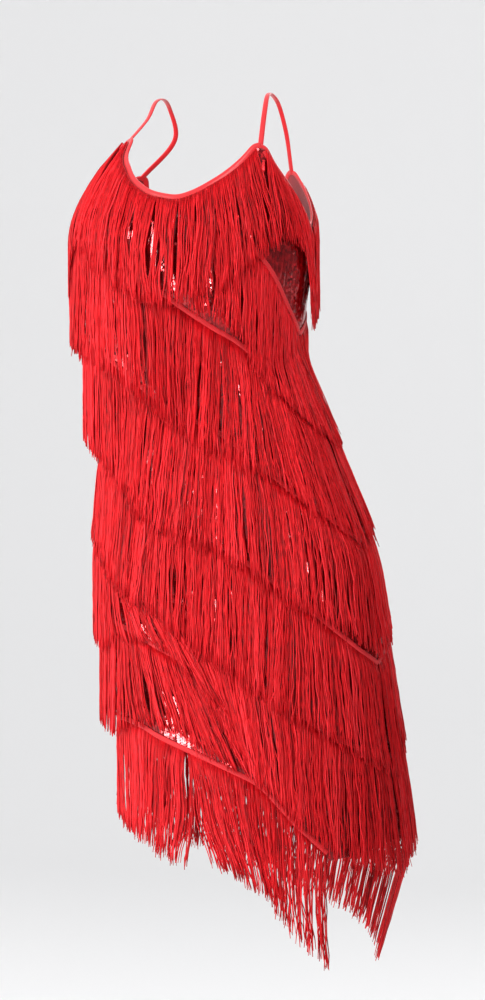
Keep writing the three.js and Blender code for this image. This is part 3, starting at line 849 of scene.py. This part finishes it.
# Angle and share of the cords that are left there: worn ends let the light through.
SPARSE = {
    "hem_front": ((-86, 1), (14, 1), (30, 0.6), (46, 0.5)),
    "hem_back": ((88, 0.4), (118, 0.5), (150, 1), (274, 1)),
}

# Where the cords part and show the cloth: angle, half the gap, how far down and how long.
PARTINGS = {
    "neck_front": (
        (-25, 1.0, 60, 30), (-17, 2.8, 50, 18), (-12, 1.2, 44, 20), (-6.2, 4.6, 54, 34),
        (-2.5, 2.4, 66, 20), (0, 3.2, 84, 20), (5, 2.6, 60, 55), (9, 1.2, 40, 30),
        (13, 1.1, 34, 26), (17, 1.0, 70, 24), (20.5, 5.4, 92, 34), (30, 1.0, 60, 24),
    ),
    "bust_front": ((20.5, 5.0, 54, 36), (62, 2.0, 60, 30)),
    "row1_front": ((-20, 1.4, 60, 30), (-4, 1.1, 60, 24), (37, 1.8, 70, 30), (64, 2.0, 40, 30)),
    "row2_front": ((-34, 1.1, 50, 30), (-14, 1.5, 50, 30), (28, 1.6, 60, 26), (47, 2.0, 56, 30)),
    "row3_front": (
        (-24, 1.2, 60, 30), (-1, 3.6, 78, 28), (3.5, 2.8, 104, 22), (20, 1.5, 60, 30), (66, 2.2, 40, 26),
    ),
    "row4_front": (
        (-37, 4.4, 72, 26), (-30, 3.0, 84, 20), (-25, 3.4, 80, 16), (24, 1.4, 50, 30),
        (52, 1.8, 56, 30), (74, 1.8, 30, 30),
    ),
    "row5_front": (
        (-31, 2.2, 60, 22), (-26, 3.6, 66, 26), (-20, 3.8, 74, 28), (-14, 2.4, 60, 24),
    ),
    "hem_front": (
        (-16, 1.6, 40, 20), (-8, 3.0, 22, 24), (-6.5, 15, 124, 40), (14, 2.6, 100, 30),
        (30, 1.6, 50, 30),
    ),
}


def below_edge(edge, first, last, drop):
    """A tape's path under a cut edge."""
    inside = edge[(edge[:, 0] > first) & (edge[:, 0] < last), 0]
    angles = np.r_[first, inside, last]
    return np.stack([angles, edge_height(edge, angles) - drop], axis=1)


def above_hem(hem, first, last):
    """A tape's path along the hem."""
    inside = hem[(hem[:, 0] > first) & (hem[:, 0] < last), 0]
    angles = np.r_[first, inside, last]
    return np.stack([angles, np.interp(angles, hem[:, 0], hem[:, 1]) + OVER_HEM], axis=1)


# Name, where the cords start above the tape's middle, their length, shares of it, swing,
# path of the tape's middle as angle and z.
BANDS = (
    ("neck_front", TUCKED, 114, NECK_LENGTHS, NECK_SWING,
        below_edge(TOP_FRONT, -52, 41.5, UNDER_EDGE)),
    ("arm_front_right", TUCKED, 106, EVEN, ARM_RIGHT_SWING,
        below_edge(TOP_FRONT, -83, -57, UNDER_ARMHOLE)),
    ("arm_front_left", TUCKED, 94, ARM_LENGTHS, ARM_LEFT_SWING,
        below_edge(TOP_FRONT, 46.5, 82, UNDER_ARMHOLE)),
    ("neck_back", TUCKED, 114, EVEN, STRAIGHT, below_edge(TOP_BACK, 132, 228, UNDER_EDGE)),
    ("arm_back_left", TUCKED, 108, EVEN, ARM_BACK_SWING,
        below_edge(TOP_BACK, 90, 127.5, UNDER_ARMHOLE)),
    ("arm_back_right", TUCKED, 108, EVEN, ARM_BACK_SWING,
        below_edge(TOP_BACK, 232.5, 270, UNDER_ARMHOLE)),
    ("bust_front", BELOW, 120, BUST_LENGTHS, STRAIGHT, (
        (13, -150), (27, -156), (44, -178), (54, -198), (69, -234), (85.8, -263))),
    ("bust_back", BELOW, 120, EVEN, STRAIGHT, ((86.2, -263), (115, -232), (146, -199))),
    ("row1_front", BELOW, 120, ROW1_LENGTHS, STRAIGHT, (
        (-85.8, -160), (-70, -155), (-53, -153), (-30, -170), (-13, -199), (4, -230),
        (21, -255), (43, -285), (63, -341), (85.8, -371))),
    ("row1_back", BELOW, 120, BACK_LENGTHS, STRAIGHT, (
        (86.2, -371), (130, -318), (180, -262), (230, -205), (273.8, -160))),
    ("row2_front", BELOW, 120, MIDDLE_LENGTHS, STRAIGHT, (
        (-85.8, -254), (-48, -276), (-27, -308), (-5, -345), (19, -372), (35, -403),
        (52, -437), (85.8, -488))),
    ("row2_back", BELOW, 120, BACK_LENGTHS, STRAIGHT, (
        (86.2, -488), (130, -436), (180, -374), (230, -310), (273.8, -254))),
    ("row3_front", BELOW, 118, MIDDLE_LENGTHS, STRAIGHT, (
        (-85.8, -361), (-66, -371), (-32, -415), (-9, -439), (3, -466), (29, -516),
        (50, -559), (72, -600), (85.8, -617))),
    ("row3_back", BELOW, 120, BACK_LENGTHS, STRAIGHT, (
        (86.2, -617), (106, -588), (150, -530), (200, -464), (273.8, -361))),
    ("row4_front", BELOW, 120, ROW4_LENGTHS, ROW4_SWING, (
        (-85.8, -460), (-66, -468), (-34, -504), (-7, -546), (3, -578), (17, -617),
        (33, -654), (58, -696), (85.8, -718))),
    ("row4_back", BELOW, 114, BACK_LENGTHS, STRAIGHT, (
        (86.2, -718), (106, -696), (150, -634), (200, -564), (273.8, -460))),
    ("row5_front", BELOW, 122, ROW5_LENGTHS, ROW5_SWING, (
        (-85.8, -564), (-66, -568), (-31, -584), (-12, -606), (3, -624))),
    ("row5_back", BELOW, 122, BACK_LENGTHS, STRAIGHT, (
        (170, -634), (196, -614), (230, -590), (273.8, -564))),
    ("hem_front", BELOW, 118, HEM_LENGTHS, HEM_SWING, above_hem(HEM_FRONT, -85.8, 46)),
    ("hem_back", BELOW, 132, HEM_BACK_LENGTHS, STRAIGHT, above_hem(HEM_BACK, 88, 273.8)),
)

tape_finish = Finish("red_header_tape")
tape_place = tape_finish.own_uv()
tape_ribs = tape_finish.add(
    "ShaderNodeTexWave", {"wave_type": "BANDS", "bands_direction": "X"},
    {"Vector": tape_place, "Scale": 190.0, "Distortion": 0.6},
)
tape_finish.feed(tape_finish.surface, {
    "Base Color": tape_finish.blend(
        tape_ribs.outputs["Fac"], colour(184, 18, 28), colour(220, 34, 42),
    ),
    "Roughness": 0.6,
    "Specular IOR Level": 0.3,
    "Sheen Weight": 0.1,
    "Normal": tape_finish.raised(tape_ribs.outputs["Fac"], 0.5, 0.0004),
})
cord_finish = Finish("red_chainette_cord")
cord_place = cord_finish.own_uv()
cord_braid = cord_finish.add(
    "ShaderNodeTexWave", {"wave_type": "BANDS", "bands_direction": "DIAGONAL"},
    {"Vector": cord_place, "Scale": 260.0, "Distortion": 0.4},
)
# Painted highlights and shade: a fine noise along each cord paints light and dark flecks for the sparkle of
# light on the chainette's loops.
cord_painted_sparkle = cord_finish.add("ShaderNodeTexNoise", {}, {
    "Vector": cord_finish.add("ShaderNodeMapping", {}, {
        "Vector": cord_finish.add("ShaderNodeTexCoord").outputs["Object"], "Scale": (1.0, 1.0, 0.22),
    }).outputs["Vector"],
    "Scale": 420.0, "Detail": 1.0,
})
# A cord's colour: its random tone, with the painted shade of the inner layer and of the roots, and the
# painted sparkle.
cord_tone_and_painted_light = cord_finish.attribute("tone") + (cord_finish.number(cord_painted_sparkle.outputs["Fac"]) - 0.5) * 0.9
cord_finish.feed(cord_finish.surface, {
    "Base Color": cord_finish.add("ShaderNodeValToRGB", {"stops": (
        (0.0, colour(140, 0, 8)), (0.35, colour(200, 4, 16)),
        (0.7, colour(226, 14, 26)), (1.0, colour(240, 40, 50)),
    )}, {"Fac": cord_tone_and_painted_light}).outputs["Color"],
    "Roughness": 0.5,
    "Specular IOR Level": 0.25,
    "Normal": cord_finish.raised(cord_braid.outputs["Fac"], 0.45, 0.0004),
})


def push_out(across_xy, z, out):
    """Holds hanging points off the cloth, and gives the level direction away from it."""
    x, y, half, front, back, turn = section_at(z)
    turn = np.radians(turn)
    dx, dy = across_xy[:, 0] - x, across_xy[:, 1] - y
    across = dx * np.cos(turn) - dy * np.sin(turn)
    ahead = dx * np.sin(turn) + dy * np.cos(turn)
    depth = np.where(ahead < 0, front, back)
    angle = np.degrees(np.arctan2(across / half, -ahead / depth))
    lift = out + fold_height(angle, z)
    reach = np.minimum(np.hypot(across / (half + lift), ahead / (depth + lift)), 1)
    held = np.stack([x + dx / reach, y + dy / reach], axis=1)
    slope_across, slope_ahead = across / half**2, ahead / depth**2
    away = np.stack([
        slope_across * np.cos(turn) + slope_ahead * np.sin(turn),
        slope_ahead * np.cos(turn) - slope_across * np.sin(turn),
    ], axis=1)
    return held, unit(away)


PATH_SAMPLES = 1500
TAPE_STATION = 2.5        # from one row of a tape's grid to the next
TAPE_COLUMNS = 7
TAPE_THICK = 0.7
TAPE_STAND = 0.5          # the tape's face over its crown's foot
TAPE_RIPPLE = 0.12


def tape_path(path, step):
    """Points of a tape's middle on the cloth, evenly spaced, with their frames."""
    path = np.array(path, float)
    fine = np.linspace(path[0, 0], path[-1, 0], PATH_SAMPLES)
    z = edge_height(path, fine)
    along = distance_along(skin(fine, z))
    at = np.linspace(0, along[-1], max(int(along[-1] / step), 2))
    angle = np.interp(at, along, fine)
    z = np.interp(at, along, z)
    points = skin(angle, z)
    normals = skin_normal(angle, z)
    run, up = frames_along(points, normals)
    return points, normals, run, up, at, angle


def header_tape(name, path):
    """The ribbed tape of a band and the stitches along its middle."""
    points, normals, run, up, at, _ = tape_path(path, TAPE_STATION)
    across = np.linspace(1, -1, TAPE_COLUMNS)
    proud = TAPE_OUT + TAPE_CROWN * (1 - across**4) + TAPE_STAND
    ripple = TAPE_RIPPLE * np.sin(at / 5.3)[:, None, None]
    grid = (
        points[:, None] + (across * TAPE_WIDE / 2)[None, :, None] * up[:, None]
        + (proud[None, :, None] + ripple) * normals[:, None]
    )
    uv = np.stack(np.broadcast_arrays(at[:, None], (across * TAPE_WIDE / 2)[None]), axis=-1)
    tape = draped_grid(name + "_tape", len(at), TAPE_COLUMNS, grid, uv, tape_finish, TAPE_THICK)
    crown = points + normals * (TAPE_OUT + TAPE_CROWN + TAPE_STAND)
    return tape, stitches(name + "_stitches", crown, run, up, normals, len(name))


def read_at(angle, table):
    """What a table of angles and values says at other angles."""
    return np.interp(angle, *np.transpose(table))


def smooth_step(share):
    """Nought to one, without a corner at either end."""
    share = np.clip(share, 0, 1)
    return share * share * (3 - 2 * share)


def hang(roots, long, lean, lifted, drawn_in):
    """Way of each cord down from its root, and the level direction away from the cloth."""
    xy, z = roots[:, :2].copy(), roots[:, 2].copy()
    away = push_out(xy, z, 0)[1]
    fallen = np.zeros(len(roots))
    middle, away_at = [roots], [away]
    for _ in range(CORD_BENDS):
        for _ in range(STEPS_A_BEND):
            piece = long / CORD_BENDS / STEPS_A_BEND
            fall = piece / np.hypot(1, lean)
            tangent = np.stack([-away[:, 1], away[:, 0]], axis=1)
            xy = xy + tangent * (lean * fall)[:, None]
            z = z - fall
            fallen = fallen + piece
            held, level = push_out(xy, z, lifted + CORD_RISE * fallen)
            free = (drawn_in > 0) & (fallen > FREE_AFTER)[:, None]
            xy = np.where(free, xy - away * drawn_in * fall[:, None], held)
            away = np.where(free, away, level)
        middle.append(np.column_stack([xy, z]))
        away_at.append(away)
    return np.stack(middle, axis=1), np.stack(away_at, axis=1)


def parted(draw, sideways, partings, at, angle, s):
    """Moves cords aside at each parting, to the side of the gap that they start on."""
    for at_angle, half, fall, reach in partings:
        near = at[:, None] - np.interp(at_angle, angle, at)
        own_side = np.where(near < 0, -1, 1)
        open_by = half * np.exp(-(((s - fall) / reach) ** 2))
        beside = own_side * (near + sideways) + open_by * np.exp(-np.abs(near) / (3.5 * half))
        least = open_by * draw.uniform(0.85, 1.15, len(at))[:, None]
        least = least - 3 * (1 - smooth_step(2 * open_by / half))
        sideways = own_side * np.maximum(beside, least) - near
    return sideways


def cord_faces():
    """Faces of one cord: a long prism with both ends closed."""
    faces = []
    for ring in range(CORD_BENDS):
        low, high = ring * CORD_SIDES, (ring + 1) * CORD_SIDES
        for corner in range(CORD_SIDES):
            after = (corner + 1) % CORD_SIDES
            faces.append((low + corner, low + after, high + after, high + corner))
    faces.append(tuple(range(CORD_SIDES))[::-1])
    faces.append(tuple(range(CORD_BENDS * CORD_SIDES, (CORD_BENDS + 1) * CORD_SIDES)))
    return faces


def cord_layer(draw, layer, name, path, start, drop, shares, swing, seed):
    """Corners, tone with its painted shade, and uv of the inner or the outer cords of one band."""
    spacing, proud = LAYERS[layer]
    step = CORD_STEP * (BACK_SPACING if "back" in name else 1) * spacing
    points, normals, _, up, at, angle = tape_path(path, step)
    count = len(at)
    lock = np.repeat(np.arange(count), draw.integers(*LOCK_CORDS, count))[:count]
    locks = lock[-1] + 1
    centre = np.array([at[lock == k].mean() for k in range(locks)])
    pull = draw.uniform(*LOCK_PULL, locks)[lock] * draw.uniform(*CORD_PULL, count)
    pull = pull * (NECK_PULL if name == "neck_front" else 1)
    drift = draw.normal(0, 0.02, locks)[lock] + draw.normal(0, 0.018, count)
    stray = draw.random(count) < STRAY_SHARE
    drift = drift + stray * draw.normal(0, STRAY_DRIFT, count)
    lock_out = draw.normal(0, 0.5, locks)[lock]
    uneven = 1 + draw.normal(0, 0.022, count) + draw.normal(0, 0.015, locks)[lock]
    long = drop * np.clip(uneven, 0.8, 1.06)
    long = long * np.where(draw.random(count) < SHORT_SHARE, draw.uniform(*SHORT_LENGTH, count), 1)
    long = long * read_at(angle, shares)
    lean = read_at(angle, swing) + 0.03 * np.sin(at / 31 + seed)
    lifted = TAPE_OUT + CORD_LIFT + (TUCKED_LIFT if start > 0 else 0)
    middle, away = hang(
        points + up * start + normals * lifted, long, lean, lifted, DRAWN_IN.get(name, 0),
    )
    tangent = np.stack([-away[..., 1], away[..., 0], 0 * away[..., 0]], axis=-1)
    outward = np.concatenate([away, 0 * away[..., :1]], axis=-1)

    s = np.linspace(0, 1, CORD_BENDS + 1)[None] * long[:, None]
    gather = (centre[lock] - at)[:, None] * pull[:, None] * smooth_step((s - PULL_FROM) / PULL_OVER)
    wave = draw.uniform(*WAVE_HEIGHT, count)[:, None] * np.sin(
        s * math.tau / draw.uniform(*WAVE_LENGTH, count)[:, None]
        + draw.uniform(0, math.tau, count)[:, None]
    ) * smooth_step(s / 20)
    sway = 1.3 * np.sin(at / 17 + 2.3 * seed)[:, None] * np.sin(s / 38 + layer) * smooth_step(s / 40)
    end = smooth_step((s - long[:, None] + LOOSE_END) / LOOSE_END)
    tip = end * draw.normal(0, END_ASIDE, count)[:, None]
    curl = end * draw.uniform(*CURL_HEIGHT, count)[:, None]
    tip = tip + curl * np.sin(s / 2.4 + draw.uniform(0, 6, count)[:, None])
    sideways = gather + wave + sway + tip + drift[:, None] * s
    sideways = parted(draw, sideways, PARTINGS.get(name, ()), at, angle, s)
    depth = smooth_step(s / 12) * (proud + lock_out[:, None] + draw.normal(0, 0.3, count)[:, None])
    depth = depth + 0.5 * np.abs(wave)
    middle = middle + tangent * sideways[..., None] + outward * np.maximum(depth, 0.1)[..., None]

    along = unit(np.gradient(middle, axis=1))
    side = unit(np.cross(along, outward))
    front = np.cross(side, along)
    radius = CORD_RADIUS * draw.uniform(*THICKNESS, count)[:, None] * np.ones_like(s)
    radius[:, -1] *= END_THICKNESS
    corner_turn = np.arange(CORD_SIDES) * math.tau / CORD_SIDES
    spin = draw.uniform(0, math.tau, count)[:, None, None] + corner_turn
    rings = (
        middle[:, :, None]
        + radius[..., None, None] * np.cos(spin)[..., None] * side[:, :, None]
        + radius[..., None, None] * np.sin(spin)[..., None] * front[:, :, None]
    )
    tone = 0.48 + draw.normal(0, 0.1, locks)[lock] + draw.normal(0, 0.17, count)
    # Painted shade: the inner cords, which hang under the outer ones, are made darker and the outer cords
    # lighter.
    tone = tone + 0.12 * (layer * 2 - 1)
    # Painted shade: each cord is darker near its root under the tape and lighter towards its tip.
    tone = np.clip(tone[:, None] + 0.1 * (s / drop - 0.5), 0, 1)
    tone = np.repeat(tone[:, :, None], CORD_SIDES, axis=2)
    turn = np.broadcast_to(np.arange(CORD_SIDES) * 1.7, rings.shape[:3])
    uv = np.stack([turn, np.broadcast_to(s[..., None], rings.shape[:3])], axis=-1)
    kept = draw.random(count) < read_at(angle, SPARSE.get(name, EVEN))
    corners = (CORD_BENDS + 1) * CORD_SIDES
    return [field.reshape(count, corners, *field.shape[3:])[kept] for field in (rings, tone, uv)]


def cords(name, path, start, drop, shares, swing, seed):
    """All the cords of one band as one mesh."""
    draw = np.random.default_rng(seed)
    layers = [
        cord_layer(draw, layer, name, path, start, drop, shares, swing, seed)
        for layer in range(len(LAYERS))
    ]
    rings, tone, uv = [np.concatenate(parts) for parts in zip(*layers)]
    return scattered_mesh(name + "_cords", rings, cord_faces(), cord_finish, tone, uv * MM)


for seed, (name, start, drop, shares, swing, path) in enumerate(BANDS):
    tape, thread = header_tape(name, path)
    fringe = cords(name, path, start, drop, shares, swing, 70 + seed)
    for piece in (tape, thread, fringe):
        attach(piece, "root")
    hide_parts("fringe_" + name)
    trims["back" if "back" in name else "front"] += [tape, thread, fringe]

# --- Floor and studio light
# A plain pale floor well below the hanging dress that sweeps up into a backdrop, two tall soft
# lights from the front on the wearer's right, one behind, and a narrow beam on the chest from
# the wearer's left. The room is paler on the wearer's right.
FLOOR_LEVEL = -1.45
SWEEP_RADIUS = 2.0
SWEEP_TURNS = 24
BACKDROP_TALL = 4
MIDDLE = (0, 0, -0.45)
CHEST = (0.05, 0, -0.13)
bpy.ops.object.select_all(action="DESELECT")
bpy.ops.mesh.primitive_plane_add(size=14, location=(0, -3, FLOOR_LEVEL))
floor = bpy.context.object
floor.name = "floor"
bpy.ops.object.transform_apply(location=True, rotation=True, scale=True)
bpy.ops.object.mode_set(mode="EDIT")
bpy.ops.mesh.select_all(action="DESELECT")
bpy.ops.object.mode_set(mode="OBJECT")
for edge in floor.data.edges:
    edge.select = all(floor.data.vertices[v].co.y > 0 for v in edge.vertices)
bpy.ops.object.mode_set(mode="EDIT")
bpy.ops.mesh.select_mode(type="EDGE")
for turn in range(SWEEP_TURNS):
    slope = (turn + 0.5) / SWEEP_TURNS * math.pi / 2
    step = SWEEP_RADIUS * math.pi / 2 / SWEEP_TURNS
    bpy.ops.mesh.extrude_region_move(TRANSFORM_OT_translate={
        "value": (0, step * math.cos(slope), step * math.sin(slope)),
    })
bpy.ops.mesh.extrude_region_move(TRANSFORM_OT_translate={"value": (0, 0, BACKDROP_TALL)})
bpy.ops.object.mode_set(mode="OBJECT")
bpy.ops.object.shade_smooth()
floor_finish = Finish("pale_floor")
floor_finish.feed(floor_finish.surface, {
    "Base Color": (0.93, 0.93, 0.93, 1), "Roughness": 0.95, "Specular IOR Level": 0.1,
})
floor.data.materials.append(floor_finish.material)
for name, place, aim, wide, tall, power, spread in (
    ("key", (-1.3, -2.7, 0.1), MIDDLE, 0.35, 2.0, 60, 180),
    ("side", (-2.6, -1.5, -0.3), MIDDLE, 0.6, 1.8, 28, 180),
    ("back", (0.6, 2.4, 1.6), MIDDLE, 1.2, 1.2, 30, 180),
    ("top", (1.5, -1.7, 0.7), CHEST, 0.35, 0.9, 0.6, 20),
):
    bpy.ops.object.light_add(type="AREA", location=place)
    light = bpy.context.object
    light.name = name
    light.data.shape = "RECTANGLE"
    light.data.size = wide
    light.data.size_y = tall
    light.data.energy = power
    light.data.spread = math.radians(spread)
    light.rotation_euler = (Vector(aim) - Vector(place)).to_track_quat("-Z", "Y").to_euler()
studio = bpy.data.worlds.new("studio")
bpy.context.scene.world = studio
room = Finish("studio", studio)
way = room.add("ShaderNodeTexCoord").outputs["Generated"]
across = room.add("ShaderNodeSeparateXYZ", {}, {"Vector": way}).outputs["X"]
walls = room.add("ShaderNodeValToRGB", {"stops": (
    (0.4, (0.98, 0.98, 0.99)), (0.95, (0.22, 0.22, 0.23)),
)}, {"Fac": room.number(across) * 0.5 + 0.5})
room.feed(room.surface, {"Color": walls.outputs["Color"], "Strength": 1.0})
bpy.context.scene.view_settings.view_transform = "Standard"
